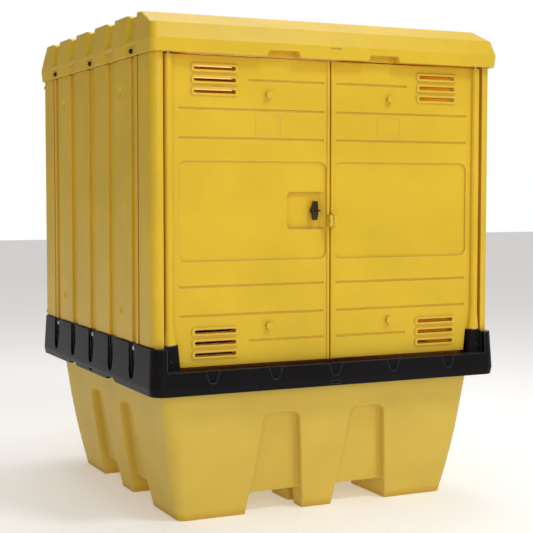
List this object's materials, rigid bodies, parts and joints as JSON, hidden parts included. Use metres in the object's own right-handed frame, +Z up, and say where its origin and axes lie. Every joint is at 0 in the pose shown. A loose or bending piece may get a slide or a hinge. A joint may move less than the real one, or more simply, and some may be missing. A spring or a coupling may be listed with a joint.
{
  "type": "spill containment pallet",
  "caption": "Outdoor spill containment pallet: a footed sump, a deck frame with lift-out gratings, and a lockable cabinet with hinged doors and a ribbed roof for a bulk container.",
  "frame": {"origin": "middle of the object's box on the ground, under the feet", "axes": "+X to the object's right seen from the doors, +Y from the doors to the rear wall, +Z up"},
  "size_m": [1.6484, 1.6584, 2.104],
  "materials": {
    "yellow_plastic": "moulded polyethylene, fine grain",
    "sump_plastic": "rotationally moulded polyethylene, fine grain",
    "black_plastic": "moulded polyethylene, slight sheen",
    "black_fitting": "smooth moulded nylon",
    "zinc_steel": "zinc plated",
    "dark_screw": "black coated",
    "brass": "machined"
  },
  "bodies": {
    "base": {"sump": "sump_plastic", "support_column_1": "black_plastic", "support_column_2": "black_plastic", "support_column_3": "black_plastic", "support_column_4": "black_plastic", "deck_frame": "black_plastic", "left_wall": "yellow_plastic", "right_wall": "yellow_plastic", "rear_wall": "yellow_plastic", "roof": "yellow_plastic", "left_wall_inserts": "brass", "right_wall_inserts": "brass", "rear_wall_inserts": "brass", "deck_bolts": "zinc_steel", "roof_bolts": "dark_screw", "corner_screws": "zinc_steel", "lower_hinge_pins": "zinc_steel", "upper_hinge_pins": "zinc_steel", "hinge_washers": "zinc_steel", "pin_screws": "dark_screw"},
    "left_door": {"left_door": "yellow_plastic", "handle_housing": "black_fitting", "housing_nut": "zinc_steel"},
    "right_door": {"right_door": "yellow_plastic", "strike_plate": "zinc_steel", "strike_screws": "zinc_steel"},
    "handle": {"t_handle": "black_fitting", "spindle": "zinc_steel", "cam": "zinc_steel", "cam_bolt": "zinc_steel", "cam_washer": "zinc_steel"},
    "lock_cylinder": {"lock_cylinder": "black_fitting"},
    "left_grate": {"left_grate": "black_plastic"},
    "right_grate": {"right_grate": "black_plastic"}
  },
  "joints": [
    {"name": "left_door_hinge", "type": "hinge", "parent": "base", "child": "left_door", "pos_m": [-0.735, -0.767, 1.3], "axis": [0, 0, -1], "range_deg": [0, 110]},
    {"name": "right_door_hinge", "type": "hinge", "parent": "base", "child": "right_door", "pos_m": [0.735, -0.767, 1.3], "axis": [0, 0, 1], "range_deg": [0, 110]},
    {"name": "handle_turn", "type": "hinge", "parent": "left_door", "child": "handle", "pos_m": [-0.07, -0.74, 1.3], "axis": [0, -1, 0], "range_deg": [0, 90]},
    {"name": "key_turn", "type": "hinge", "parent": "handle", "child": "lock_cylinder", "pos_m": [-0.07, -0.76, 1.3], "axis": [0, -1, 0], "range_deg": [0, 90]},
    {"name": "left_grate_lift", "type": "slide", "parent": "base", "child": "left_grate", "axis": [0, 0, 1], "range_m": [0, 0.25]},
    {"name": "right_grate_lift", "type": "slide", "parent": "base", "child": "right_grate", "axis": [0, 0, 1], "range_m": [0, 0.25]}
  ]
}
